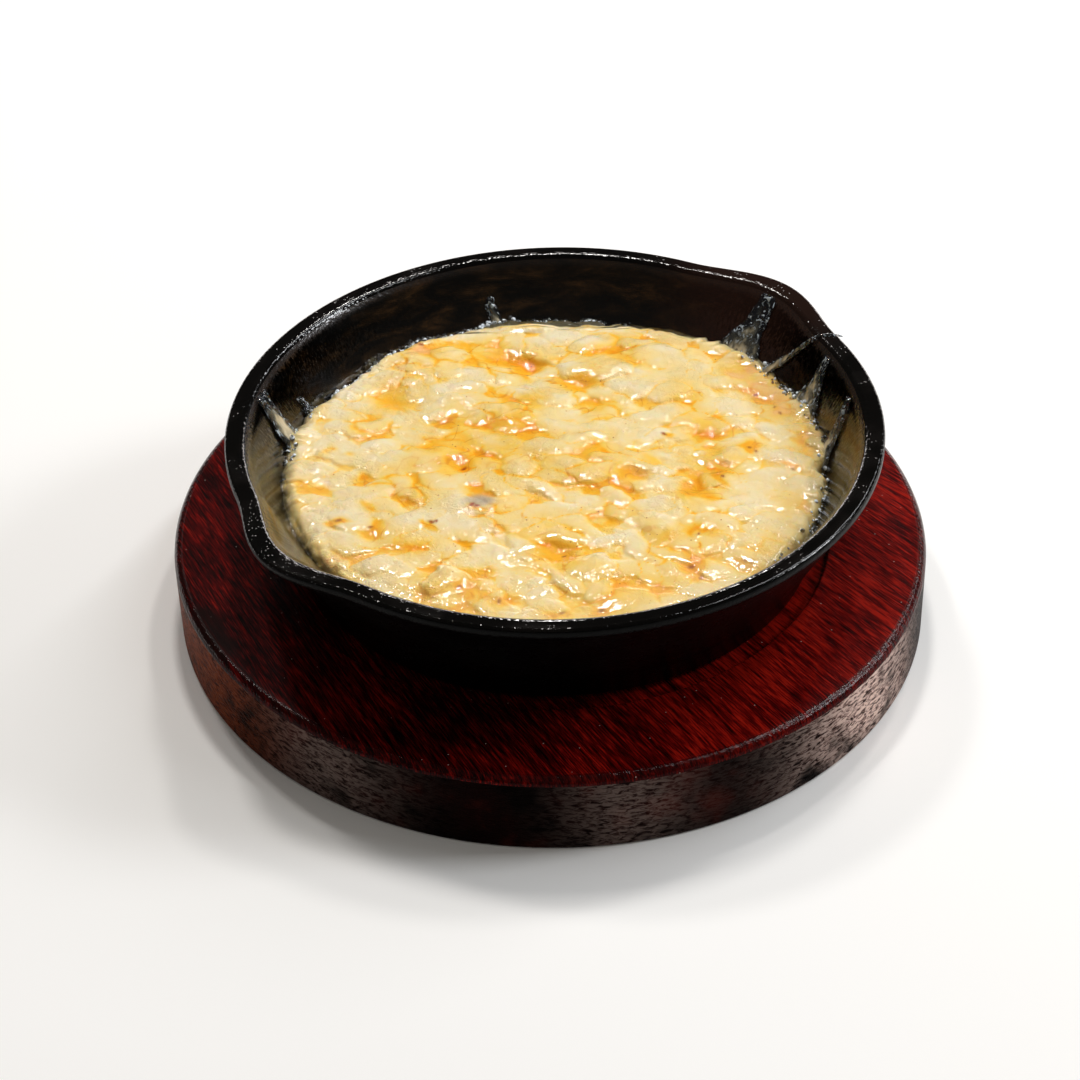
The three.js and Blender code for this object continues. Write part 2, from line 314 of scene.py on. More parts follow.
# Where pale sheen is painted onto the side.
worn = sum(share * np.exp(-(((azimuths - centre) / half) ** 2)) for centre, half, share in SHEEN_PLACES)
out = np.array([v.co.xy.length for v in bm.verts])
scorch_turn = ((azimuths - SCORCH_AZIMUTH) / SCORCH_WIDTH) ** 4
scorched = np.exp(-scorch_turn - ((out - SCORCH_RADIUS) / SCORCH_REACH) ** 4)
satin = stained_top("stained_top", 0.05)
marks = {"worn": worn, "brim": brim, "scorched": scorched}
base = finished(bm, "wooden_base_turned", satin, "stained_wood", ["wooden_base"], **marks)
base.data.materials.append(wrinkled_side())
base.data.materials.append(stained_top("glossy_brim", 0.3))


# Cast-iron pan: poured in a sand mould, so that its skin is a little rough, with two pouring lips and a flat
# rim, then fired with a glossy black seasoning. It stands in the seat, a little off the base's centre.
PAN_PLACE = Vector((2.1, -1.7, 0)) * MM
RIM_RADIUS = 82.5 * MM
LAND_WIDTH = 5 * MM
FOOT_RADIUS = 65.5 * MM
FLOOR_RADIUS = 60.5 * MM
FLOOR_THICKNESS = 4.2 * MM
RIM_EDGE = 1.1 * MM
RIM_INNER_EDGE = 2 * MM
RIM_BAND = 3 * MM
BAND_STEP = 0.9 * MM
FOOT_EDGE = 4 * MM
WALL_FILLET = 7 * MM
LIP_AZIMUTHS = (43.5, -142.7)
LIP_HALF_ANGLE = 18.5
LIP_OUT = 5.3 * MM
LIP_IN = 4.4 * MM
LIP_DEPTH = 14 * MM
PAN_TURNS = 360

pan_low, pan_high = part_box("iron_pan")
foot_z = pan_low.z
rim_z = pan_high.z
floor_z = foot_z + FLOOR_THICKNESS
inner_rim = RIM_RADIUS - LAND_WIDTH


def smooth(t):
    t = np.clip(t, 0, 1)
    return t * t * (3 - 2 * t)


def turned_from(azimuth, centre):
    """Degrees from one azimuth to another, the short way round."""
    return (azimuth - centre + 540) % 360 - 180


def lip_share(azimuth, z):
    """How much of a lip's reach applies at an azimuth in degrees and a height."""
    share = 0
    for centre in LIP_AZIMUTHS:
        off = np.abs(turned_from(azimuth, centre))
        share = share + np.where(off < LIP_HALF_ANGLE, (1 + np.cos(np.pi * off / LIP_HALF_ANGLE)) / 2, 0)
    return share * smooth((z - (rim_z - LIP_DEPTH)) / LIP_DEPTH)


def wall_radius(z):
    """Radius of the pan's inside at a height, without its lips."""
    return FLOOR_RADIUS + (inner_rim - FLOOR_RADIUS) * (z - floor_z) / (rim_z - floor_z)


def polar(co):
    """Radius and azimuth in degrees of each row."""
    return np.hypot(co[:, 0], co[:, 1]), np.degrees(np.arctan2(co[:, 1], co[:, 0]))


def painted_lip_sheen(place):
    """From 0 to 1 towards the back lip, where a reddish brown sheen is painted into the iron's colour."""
    lip = math.radians(LIP_AZIMUTHS[0])
    centre = (RIM_RADIUS * math.cos(lip), RIM_RADIUS * math.sin(lip), rim_z)
    far = place.node("VectorMath", {"operation": "DISTANCE"}, {0: place, 1: centre}, "Value")
    return far.step(0.012, 0.036, 1, 0)


def greased_iron():
    """Black seasoning with a brown tint, under runs of grease that mirror the cheese, with a painted brown
    reflection on the roll below the rim and a painted reddish sheen towards the back lip.
    """
    material, place = new_finish("greased_iron", {"IOR": 1.85})
    skin = place.noise(520, 3, 0.55)
    turn = 0.07 * place.maths("ARCTAN2", place.part(1), place.part(0))
    runs = place.node("CombineXYZ", None, {0: turn, 1: 0.09 * place.part(2)}).noise(1100, 3, 0.6)
    brown = place.node("CombineXYZ", None, {0: 0.3 * turn, 1: place.part(2)}).noise(260, 4, 0.65, 0.5)
    colour = brown.ramp(
        (0.42, (0.0009, 0.0007, 0.0005)),
        (0.56, (0.011, 0.0058, 0.0021)),
        (0.70, (0.044, 0.022, 0.0075)),
    )
    # Painted sheen: reddish brown towards the back lip.
    colour = (0.75 * painted_lip_sheen(place)).blend(colour, (0.030, 0.010, 0.006, 1))
    # Painted reflection: a warm brown band on the roll below the rim, weaker towards the back.
    roll = place.part(2).step(rim_z - 3.2 * MM, rim_z - 1.5 * MM)
    colour = (0.7 * roll * place.part(1).step(0.02, 0.06, 1, 0.3)).blend(colour, (0.022, 0.015, 0.013, 1))
    high = place.part(2).step(rim_z - 15 * MM, rim_z - 4 * MM) - roll
    flecks = place.node("CombineXYZ", None, {0: 2 * turn, 1: 0.5 * place.part(2)})
    soot = (flecks.noise(1300, 4, 0.7) + 0.2 * high).step(0.60, 0.64) * place.part(1).step(0.03, 0.07, 1, 0.2)
    even = place.part(1).step(0.02, 0.06, 0.4, 0.16)
    relief = 0.15 * place.noise(140, 2) + 0.06 * skin + even * runs + 0.7 * roll * place.noise(900, 1)
    gloss = 0.08 + 0.08 * skin + 0.12 * roll
    feed(material, base_color=colour, roughness=gloss, metallic=soot, normal=relief.bump(0.3 * MM, 0.6))
    return material


def gritty_rim():
    """The rim's flat land, with grains of sand cast into it, the most of them at the front lip, and a painted
    reddish sheen towards the back lip.
    """
    material, place = new_finish("gritty_rim", {"IOR": 1.5})
    grains = place.node("TexVoronoi", None, {"Vector": place, "Scale": 1250.0}, "Distance")
    grit = grains.step(0.02, 0.26, 1, 0)
    patch = place.noise(75, 2).step(0.46, 0.62)
    lip = math.radians(LIP_AZIMUTHS[1])
    lip_place = (RIM_RADIUS * math.cos(lip), RIM_RADIUS * math.sin(lip), rim_z)
    far = place.node("VectorMath", {"operation": "DISTANCE"}, {0: place, 1: lip_place}, "Value")
    near_lip = far.step(0.010, 0.026, 1, 0)
    open_sand = 0.32 + 0.14 * patch + 0.17 * near_lip
    relief = 0.12 * place.noise(260, 2) + 0.6 * grit * (open_sand + place.noise(430, 1)).step(0.96, 1.10)
    relief = relief + near_lip * 0.7 * place.noise(420, 2)
    relief = relief + mark_wire(place, "edge") * 0.5 * place.noise(1000, 1)
    colour = patch.ramp((0.0, (0.0009, 0.0008, 0.0008)), (1.0, (0.0025, 0.0019, 0.0017)))
    # Painted sheen: reddish brown towards the back lip.
    colour = (0.6 * painted_lip_sheen(place)).blend(colour, (0.022, 0.009, 0.006, 1))
    feed(material, base_color=colour, roughness=0.07 + 0.06 * patch, normal=relief.bump(0.35 * MM, 0.8))
    return material


def dry_iron():
    """The same seasoning on the outside, duller, over the skin of the sand mould."""
    material, place = new_finish("dry_iron", {"IOR": 1.45, "Specular IOR Level": 0.06})
    skin = place.noise(420, 4, 0.6)
    colour = place.noise(90, 3).ramp((0.35, (0.0007, 0.0007, 0.0007)), (0.7, (0.0024, 0.0023, 0.0022)))
    relief = 0.8 * skin + 0.4 * place.noise(1500, 2)
    feed(material, base_color=colour, roughness=0.22 + 0.15 * skin, normal=relief.bump(0.3 * MM, 0.6))
    return material


wall_lean = math.degrees(math.atan2(inner_rim - FLOOR_RADIUS, rim_z - floor_z))
fillet_x = FLOOR_RADIUS - WALL_FILLET * math.tan(math.radians((90 - wall_lean) / 2))
wall_heights = np.linspace(floor_z + 1.2 * WALL_FILLET, rim_z - RIM_INNER_EDGE, 14)
inner_wall = [(wall_radius(z), z) for z in wall_heights]
outer_foot = np.array((FOOT_RADIUS, foot_z + FOOT_EDGE))
outer_slope = np.array((RIM_RADIUS - BAND_STEP, rim_z - RIM_BAND)) - outer_foot
outer_lean = math.degrees(math.atan2(*outer_slope))
outer_wall = [tuple(outer_foot + share * outer_slope) for share in np.linspace(0, 1, 12)]
outline = [
    (0, foot_z),
    *arc(FOOT_RADIUS - 3 * MM, foot_z + FOOT_EDGE, FOOT_EDGE, -90, -outer_lean, 8),
    *outer_wall[2:],
    (RIM_RADIUS - 0.35 * MM, rim_z - RIM_BAND + 0.2 * MM),
    (RIM_RADIUS, rim_z - RIM_BAND + 0.7 * MM),
    *arc(RIM_RADIUS - RIM_EDGE, rim_z - RIM_EDGE, RIM_EDGE, 0, 90, 6),
    (RIM_RADIUS - 0.5 * LAND_WIDTH, rim_z),
    *arc(inner_rim + RIM_INNER_EDGE - 0.4 * MM, rim_z - RIM_INNER_EDGE, RIM_INNER_EDGE, 90, 150, 7),
    *inner_wall[-2::-1],
    *arc(fillet_x, floor_z + WALL_FILLET, WALL_FILLET, -wall_lean, -90, 6),
    (0, floor_z),
]
bm = spun(outline, PAN_TURNS)
co = places(bm)
radius, azimuth = polar(co)
outside = radius > wall_radius(co[:, 2]) + LAND_WIDTH / 2
pulled = radius + np.where(outside, LIP_OUT, LIP_IN) * lip_share(azimuth, co[:, 2])
co[:, :2] *= np.where(radius > MM, pulled / np.maximum(radius, MM), 1)[:, None]
on_land = co[:, 2] > rim_z - 1.4 * RIM_EDGE
edge = (co[:, 2] > rim_z - RIM_INNER_EDGE) & (co[:, 2] < rim_z - 0.02 * MM)
move(bm, co + np.array(PAN_PLACE))
for face in bm.faces:
    if all(on_land[v.index] for v in face.verts) and face.normal.z > 0.45:
        face.material_index = 2
    elif any(outside[v.index] for v in face.verts):
        face.material_index = 1
pan = finished(bm, "iron_pan_cast", greased_iron(), "cast_iron", ["iron_pan"], edge=edge)
pan.data.materials.append(dry_iron())
pan.data.materials.append(gritty_rim())


# Melted cheese: grated cheese that has melted into one mass on the stove. Its shreds still show as rounded
# lobes, with fat gathered golden and orange in the low places between them, and a wet shine all over.
LEVEL = 42.0
DOME = 1.2
EDGE_DROP = 2.2
EDGE_WIDTH = 6.0
REACH = 72.0
SHRED_COUNT = 210
SHRED_SEED = 20
SMALL_SHRED_COUNT = 1100
SMALL_SHRED_SEED = 7
GOLDEN_ANGLE = math.radians(137.508)
CELL = 0.43
# How far the cheese runs into the wall, so that no gap shows.
WALL_OVERLAP = 0.5
# Heights of the rings below the surface, down to just above the pan's floor.
SIDE_RINGS = (36, 32, 28, 25.5, 24.35)
Shred = namedtuple("Shred", "x y turn half_length half_width crest lift")
LUMPS = [
    Shred(11, 41, -0.1, 10, 6, 2.7, 0.8),
    Shred(-1, 30, 0.2, 9, 6, 1.9, 0.5),
    Shred(29, 47, -0.4, 9, 5, 1.6, 0.5),
    Shred(-33, 3, 0.1, 11, 6, 1.7, 0.4),
    Shred(-27, -47, 0.1, 6, 5, 2.2, 0.6),
    Shred(8, -43, 0, 6, 5, 2.3, 0.7),
    Shred(27, -31, -0.9, 12, 5, 1.5, 0.5),
    Shred(44, 2, 0, 9, 5, 1.5, 0.4),
    Shred(-48, -12, 0.5, 8, 5.5, 1.6, 0.4),
    Shred(-38, -24, 0.7, 8, 4.5, 1.6, 0.5),
    Shred(54, -28, 0.3, 6, 5, 1.6, 0.5),
    Shred(19, 12, -0.3, 11, 5, 1.3, 0.4),
]
DIMPLES = [
    (-14, 49, 5.5, 1.8),
    (-6, 44, 3.5, 2),
    (-42, 32, 5, 1.4),
    (8, 35.5, 3.5, 1.8),
    (21, -7, 3, 1.6),
    (34, -12, 3.5, 1.9),
    (0, -36, 4, 2.4),
    (-45, -30, 3.5, 1.6),
    (-24, 1, 3, 1.4),
    (41, 4, 2.5, 1.4),
    (68.5, -4, 2.4, 6),
]
# Where the cheese climbs the wall towards its strings: azimuth, half width, height.
CLIMBS = [(168, 5, 2.5), (157, 3, 1.2), (103, 4, 1.2), (43, 8, 2.6), (33, 5, 1.6), (20, 7, 3.4), (5, 6, 1.8)]
# Where the cheese thins to a clear film at the wall: azimuth, half width, reach.
THIN_PLACES = [(-6, 22, 8), (-38, 14, 4), (150, 22, 4), (190, 26, 4), (100, 35, 1.6), (35, 14, 2)]
# One grey bit: its place and half its length and width.
BIT_PLACE = (-19, -16)
BIT_SIZE = (3.9, 3)
# Where small blisters stand near the wall: azimuth and half width.
BLISTERED_AZIMUTH = 130
BLISTERED_WIDTH = 34
# How far in from the wall the darker, yellower band of painted shade reaches.
BORDER_REACH = 26
# How much wider than its listed radius a place of fat is.
FAT_SPREAD = 1.18
# Charred specks and pink patches: x, y, radius.
CHARS = [
    (-54, -22, 0.7), (-31, -24, 0.8), (-29.8, -23.8, 0.6), (-23.2, -0.4, 0.8), (53.3, 28.9, 0.6),
    (28.2, 10.8, 0.7), (58.8, 19.5, 0.6), (57.6, 22.4, 0.5), (69.0, 9.3, 0.9), (68.4, 7.9, 0.7),
    (42, -7.5, 0.6), (34, -47.4, 0.8), (9.6, -59.2, 0.7), (1.4, -36.6, 0.5), (59.8, -5.8, 0.6),
    (-14.5, -54.8, 0.7), (0.3, -59.9, 0.8), (32, -43.5, 0.8), (45, -42.6, 0.7), (46.4, -43, 0.7),
    (-21, -18.4, 0.8), (-19.8, -18.9, 0.7), (-35, 55.8, 0.7), (-6.6, 40.2, 0.4), (-24, -50, 0.7),
    (-46, -24.6, 0.6), (49.6, 4.1, 0.5), (51.2, 2.4, 0.5), (34.4, -32, 0.5),
]
BLUSHES = [
    (50, 38, 2.6), (55, 32, 3.4), (59, 25, 2.8), (60, 20, 2.6), (68, 9, 2.2), (-56, -36, 2.2),
    (-35, 54, 2.6),
]
# Where fat has gathered: x, y, radius, and how far from cream (0) to orange brown (1) it colours the cheese.
FAT = [
    (-15, 49, 7, 0.62), (-7, 42.5, 3.5, 0.85), (-34, 53, 4, 0.6), (-43, 30, 6, 0.6), (-28, 2, 8, 0.5),
    (-24, 1, 3, 0.7), (-11, 18, 4, 0.5), (-8, 10, 6, 0.5), (-27, 14, 7, 0.4), (-5, 27, 4, 0.55),
    (-52, 6, 1.1, 0.6), (-50, -2, 1.0, 0.6), (-56, 9, 1.3, 0.3), (-46, -17, 1.9, 0.75),
    (-45, -26, 2.4, 0.75), (-36, -33, 3.5, 0.5), (-54, -22, 1.6, 0.8), (0, -37, 7, 0.6),
    (0, -36, 2, 0.9), (-19, -44, 2.5, 0.7), (-23, -50, 3, 0.7), (-19, -52, 5, 0.5), (-32, -50, 4, 0.55),
    (-14, -55, 3, 0.6), (0, -60, 4, 0.6), (-56, -36, 4, 0.6), (7.5, 36.5, 4, 0.85), (20, 50, 7, 0.5),
    (33, 29, 6, 0.5), (14, 22, 4, 0.4), (49, 38, 4, 0.65), (55, 31, 5, 0.7), (59, 20, 4, 0.7),
    (39, 12, 4, 0.6), (40, 1, 6, 0.45), (50, 3, 3, 0.75), (24, 1, 3, 0.6), (18, -8, 4, 0.65),
    (35, -13, 5, 0.65), (34.5, -14, 2, 0.85), (40, -24, 3, 0.55), (35, -31, 2.5, 0.6), (6, 0, 10, 0.3),
    (26, -32, 4, 0.5), (32, -44, 3, 0.75), (46, -43, 3.5, 0.75), (23, -53, 4, 0.55), (14, -54, 4, 0.55),
    (10, -59, 3, 0.75), (60, -6, 1.6, 0.7), (67, 9, 3, 0.85), (59, -19, 4, 0.4), (62, -35, 5, 0.4),
    (56, -39, 5, 0.45), (42, -7.5, 2, 0.7),
]


def chance(seed):
    """The same repeatable source of numbers from 0 to 1 as the CAD part's."""
    state = seed
    while True:
        state = (state * 1664525 + 1013904223) % 4294967296
        yield state / 4294967296


def between(draw, low, high):
    return low + (high - low) * next(draw)


def scattered(count, seed, lengths, widths, crests, lifts):
    """Shreds on a spiral, each nudged, turned and sized by chance."""
    draw = chance(seed)
    shreds = []
    for i in range(count):
        distance = REACH * math.sqrt((i + 0.5) / count)
        angle = i * GOLDEN_ANGLE
        x = distance * math.cos(angle) + between(draw, -2.5, 2.5)
        y = distance * math.sin(angle) + between(draw, -2.5, 2.5)
        turn = between(draw, -0.9, 0.9) - 0.35
        sizes = [between(draw, *span) for span in (lengths, widths, crests, lifts)]
        shreds.append(Shred(x, y, turn, *sizes))
    return shreds


def melted_together(x, y, shreds, softness, ground):
    """Height of overlapping rounded shreds that run into one another, and how far the highest stands out."""
    total = np.full_like(x, math.exp(ground / softness))
    first = np.full_like(x, ground)
    second = np.full_like(x, ground)
    for s in shreds:
        reach = s.half_length + 3
        near = (np.abs(x - s.x) < reach) & (np.abs(y - s.y) < reach)
        dx = x[near] - s.x
        dy = y[near] - s.y
        along = (dx * math.cos(s.turn) + dy * math.sin(s.turn)) / s.half_length
        across = (dy * math.cos(s.turn) - dx * math.sin(s.turn)) / s.half_width
        fall = along**2 + across**2
        height = s.lift + s.crest * (1 - fall) * np.where(fall < 1, 1, 2)
        total[near] += np.exp(height / softness)
        second[near] = np.maximum(second[near], np.minimum(first[near], height))
        first[near] = np.maximum(first[near], height)
    return softness * np.log(total), first - second


large_shreds = scattered(SHRED_COUNT, SHRED_SEED, (4.5, 9.5), (2.6, 4.4), (0.5, 1.3), (-0.4, 0.4)) + LUMPS
small_shreds = scattered(SMALL_SHRED_COUNT, SMALL_SHRED_SEED, (1.6, 4.2), (0.8, 1.7), (0.2, 0.7), (-0.3, 0.3))
surface_wall = wall_radius(LEVEL * MM) / MM


def cheese_surface(x, y):
    """Height in millimetres above the table at places about the pan's axis, and how far from a crease."""
    radius = np.hypot(x, y)
    level = LEVEL + DOME * (1 - (radius / REACH) ** 2)
    roll = 0.6 * (np.sin(x / 11 + 1.3) * np.cos(y / 13 - 0.6) + 0.6 * np.sin((x + y) / 7.5))
    azimuth = np.degrees(np.arctan2(y, x))
    climb = sum(high * np.exp(-((turned_from(azimuth, at) / wide) ** 2)) for at, wide, high in CLIMBS)
    rise = climb * smooth((radius - surface_wall + 7) / 7) ** 2
    dimples = sum(deep * np.exp(-((x - cx) ** 2 + (y - cy) ** 2) / r**2) for cx, cy, r, deep in DIMPLES)
    drop = EDGE_DROP * (1 - smooth((surface_wall - radius) / EDGE_WIDTH)) ** 2
    bend_x = x + 0.9 * np.sin(y / 2.3 + np.sin(x / 4.1)) + 0.35 * np.sin(y / 0.9 + 2 * np.sin(x / 1.7))
    bend_y = y + 0.9 * np.sin(x / 2.9 + np.sin(y / 3.7)) + 0.35 * np.sin(x / 1.1 + 2 * np.sin(y / 1.3))
    sharp, clear = melted_together(bend_x, bend_y, large_shreds, 0.2, -0.4)
    soft, _ = melted_together(bend_x, bend_y, large_shreds, 0.8, -1.2)
    small, _ = melted_together(bend_x, bend_y, small_shreds, 0.12, -0.3)
    patch = np.sin(x / 5.2 + 1.7 * np.sin(y / 8.3)) * np.sin(y / 4.4 + 1.5 * np.sin(x / 7.7 + 1))
    apart = smooth(patch + 0.45)
    rough = 0.08 + 0.22 * smooth(np.sin(x / 17 - 0.4) * np.sin(y / 14 + 2.2) + 0.35)
    rough += 0.5 * smooth((radius - surface_wall + 8) / 6)
    fold = 0.20 * np.exp(-((clear / 0.16) ** 2)) * apart
    shreds = 0.5 * ((0.75 * soft - 0.5) * (1 - apart) + sharp * apart)
    height = level - 0.4 + roll + shreds + rough * small + rise - 0.7 * dimples - drop - fold
    return height, clear / (0.25 + apart)


def blurred(grid, cells):
    """A square grid of heights, each averaged with its neighbours in a bell."""
    reach = int(3 * cells)
    bell = np.exp(-0.5 * (np.arange(-reach, reach + 1) / cells) ** 2)
    bell /= bell.sum()
    padded = np.pad(grid, reach, mode="edge")
    rows = np.apply_along_axis(lambda line: np.convolve(line, bell, "valid"), 0, padded)
    return np.apply_along_axis(lambda line: np.convolve(line, bell, "valid"), 1, rows)


def greasy_cheese():
    """Cream, going golden and orange with the mark of fat and painted shade, darker and yellower with painted
    shade near the wall, and grey and glassy where it is thin.
    """
    fixed = {
        "IOR": 1.33,
        "Subsurface Weight": 0.7,
        "Subsurface Radius": (1.0, 0.62, 0.28),
        "Subsurface Scale": 1.2 * MM,
        "Coat Roughness": 0.02,
        "Coat IOR": 1.5,
    }
    material, place = new_finish("greasy_cheese", fixed)
    broad = place.noise(48, 2)
    mottle = place.noise(170, 3, 0.6)
    crease = mark_wire(place, "crease")
    glow = mark_wire(place, "glow")
    gather = broad.step(0.42, 0.62)
    # The fat mark also carries painted shade: slopes that face the camera go golden.
    fat_and_shade_spots = mark_wire(place, "fat")
    fat = 0.9 * fat_and_shade_spots + gather * (0.12 + glow * 0.15) + 0.16 * (mottle - 0.4)
    fat = fat + crease * mottle.step(0.40, 0.60) * (0.12 + 0.26 * gather + 0.5 * fat_and_shade_spots)
    thin = mark_wire(place, "thin") + 0.5 * (place.noise(260, 3) - 0.5)
    colour = fat.ramp(
        (0.00, (0.865, 0.765, 0.545)),
        (0.12, (0.88, 0.70, 0.345)),
        (0.35, (0.92, 0.595, 0.115)),
        (0.55, (0.93, 0.485, 0.042)),
        (0.80, (0.93, 0.43, 0.022)),
        (1.00, (0.89, 0.35, 0.013)),
    )
    vein = place.maths("ABSOLUTE", place.noise(110, 1, 0.5, 0.5) - 0.5).step(0.003, 0.022, 1, 0)
    vein = vein * mottle.step(0.40, 0.54) * fat.step(0.10, 0.45, 0.03, 0.6)
    colour = vein.blend(colour, (0.70, 0.25, 0.018, 1))
    speck = place.node("TexVoronoi", None, {"Vector": place, "Scale": 300.0}, "Distance")
    speckled = speck.step(0.04, 0.09, 0.9, 0) * broad.step(0.40, 0.52, 0.25, 1)
    colour = speckled.blend(colour, (0.40, 0.10, 0.012, 1))
    colour = mark_wire(place, "blush").blend(colour, (0.95, 0.56, 0.28, 1))
    colour = mark_wire(place, "bit").blend(colour, (0.46, 0.39, 0.29, 1))
    colour = mark_wire(place, "char").blend(colour, (0.28, 0.022, 0.004, 1))
    # Painted shade: darker, yellower cheese near the wall.
    colour = mark_wire(place, "border").blend(colour, (0.82, 0.62, 0.27, 1))
    colour = thin.step(0.30, 0.60, 0, 0.5).blend(colour, (0.42, 0.37, 0.19, 1))
    colour = thin.step(0.70, 1.0, 0, 0.92).blend(colour, (0.04, 0.036, 0.022, 1))
    wet = place.noise(130, 2).step(0.42, 0.62)
    pool = fat.step(0.3, 0.7)
    fine = 1.2 * place.noise(820, 2, 0.5, 0.9) + 0.16 * place.noise(1900, 1)
    smooth_cells = {"feature": "SMOOTH_F1"}
    dome = place.node("TexVoronoi", smooth_cells, {"Vector": place, "Scale": 640.0}, "Distance")
    blisters = mark_wire(place, "blistered") * dome.step(0.1, 0.6, 0.8, 0)
    relief = 0.7 * place.noise(330, 2, 0.5, 0.9) + (1 - 0.3 * pool) * (0.22 + wet) * fine + blisters
    gloss = 0.08 - 0.035 * wet - 0.03 * pool
    oil = (0.35 + 0.6 * wet) * (1 - 0.5 * glow)
    feed(material, base_color=colour, roughness=gloss, coat_weight=oil, normal=relief.bump(0.4 * MM, 0.7))
    return material


half = math.ceil(surface_wall / CELL + 4) * CELL
steps = round(2 * half / CELL)
bm = bmesh.new()
bmesh.ops.create_grid(bm, x_segments=steps, y_segments=steps, size=half)
edge_radius = surface_wall + WALL_OVERLAP
beyond = [v for v in bm.verts if v.co.xy.length > edge_radius + 0.7 * CELL]
bmesh.ops.delete(bm, geom=beyond, context="VERTS")
for v in bm.verts:
    if v.is_boundary:
        v.co.xy = v.co.xy.normalized() * edge_radius
co = places(bm)
x, y = co[:, 0].copy(), co[:, 1].copy()
co[:, 2], clear = cheese_surface(x, y)
radius = np.hypot(x, y)
reach_out = (wall_radius(co[:, 2] * MM) / MM - surface_wall) * smooth((radius - surface_wall + 5) / 5)

line = np.arange(-half, half + 1, 1.0)
grid_x, grid_y = np.meshgrid(line, line, indexing="ij")
coarse = cheese_surface(grid_x.ravel(), grid_y.ravel())[0].reshape(grid_x.shape)
mean = blurred(coarse, 3.0)


def read(grid, x, y):
    """A grid's value between its four nearest points."""
    column = np.clip((x + half).astype(int), 0, len(line) - 2)
    row = np.clip((y + half).astype(int), 0, len(line) - 2)
    right = np.clip(x + half - column, 0, 1)
    up = np.clip(y + half - row, 0, 1)
    near = grid[column, row] * (1 - right) + grid[column + 1, row] * right
    far = grid[column, row + 1] * (1 - right) + grid[column + 1, row + 1] * right
    return near * (1 - up) + far * up


low = np.clip(read(mean, x, y) - co[:, 2], -2, 2)
# Slopes that face the camera, painted golden below as shade.
shade = np.clip(read(np.gradient(blurred(coarse, 0.7), axis=1), x, y), 0, 0.6)
# Fat runs along the shreds, so its places have bent outlines.
fat_x = x + 1.3 * np.sin(y / 2.6 + 1.7 * np.sin(x / 3.9)) + 0.7 * np.sin(y / 1.15 + x / 2)
fat_y = y + 1.3 * np.sin(x / 3.1 + 1.5 * np.sin(y / 3.3)) + 0.7 * np.sin(x / 1.3 + y / 2)
gathered = 0
for spot_x, spot_y, r, tone in FAT:
    away = (fat_x - spot_x) ** 2 + (fat_y - spot_y) ** 2
    gathered = gathered + tone * np.exp(-away / (FAT_SPREAD * r) ** 2)
pooled = 0.45 + 0.75 * smooth((low + 0.35) / 0.7)
# Painted shade: slopes that face the camera add to the golden mark.
fat_and_shade_mark = np.clip(0.84 * gathered * pooled + 0.14 * np.clip(low + 0.35, 0, 2) + 0.40 * shade, 0, 0.7)
azimuth = np.degrees(np.arctan2(y, x))
extra = sum(reach * np.exp(-((turned_from(azimuth, at) / wide) ** 2)) for at, wide, reach in THIN_PLACES)
thin_mark = 1 - np.clip((surface_wall - radius) / (2.5 + extra), 0, 1)
bit_x, bit_y = BIT_PLACE
bit_length, bit_width = BIT_SIZE
bit_mark = np.exp(-((((x - bit_x) / bit_length) ** 2 + ((y - bit_y) / bit_width) ** 2) ** 2))


def spots(spot_list, x, y):
    """The strongest of oblong spots at places of the surface, each turned its own way."""
    strongest = np.zeros_like(x)
    for i, (spot_x, spot_y, radius) in enumerate(spot_list):
        way = 2.4 * i
        along = ((x - spot_x) * math.cos(way) + (y - spot_y) * math.sin(way)) / (1.3 * radius)
        across = ((y - spot_y) * math.cos(way) - (x - spot_x) * math.sin(way)) / (0.75 * radius)
        strongest = np.maximum(strongest, np.exp(-((along**2 + across**2) ** 1.5)))
    return strongest


char_mark = 0.97 * spots([(at_x, at_y, 0.95 * r) for at_x, at_y, r in CHARS], x, y)
halo = spots([(at_x, at_y, 2.4 * r) for at_x, at_y, r in CHARS], fat_x, fat_y)
fat_and_shade_mark = np.clip(fat_and_shade_mark + 0.5 * halo, 0, 0.85)
blistered = np.exp(-((turned_from(azimuth, BLISTERED_AZIMUTH) / BLISTERED_WIDTH) ** 2))
blistered *= smooth((radius - surface_wall + 13) / 9)
blush_mark = 0.65 * spots(BLUSHES, fat_x, fat_y)
facing = np.clip(0.5 - 0.5 * np.sin(np.radians(azimuth)) + 0.2 * np.cos(np.radians(azimuth)), 0, 1)
# Painted shade near the wall, strongest at the front and the right.
wall_shade_mark = 0.6 * facing * (1 - smooth((surface_wall - radius) / BORDER_REACH))
co[:, :2] *= (1 + reach_out / np.maximum(radius, 1))[:, None]

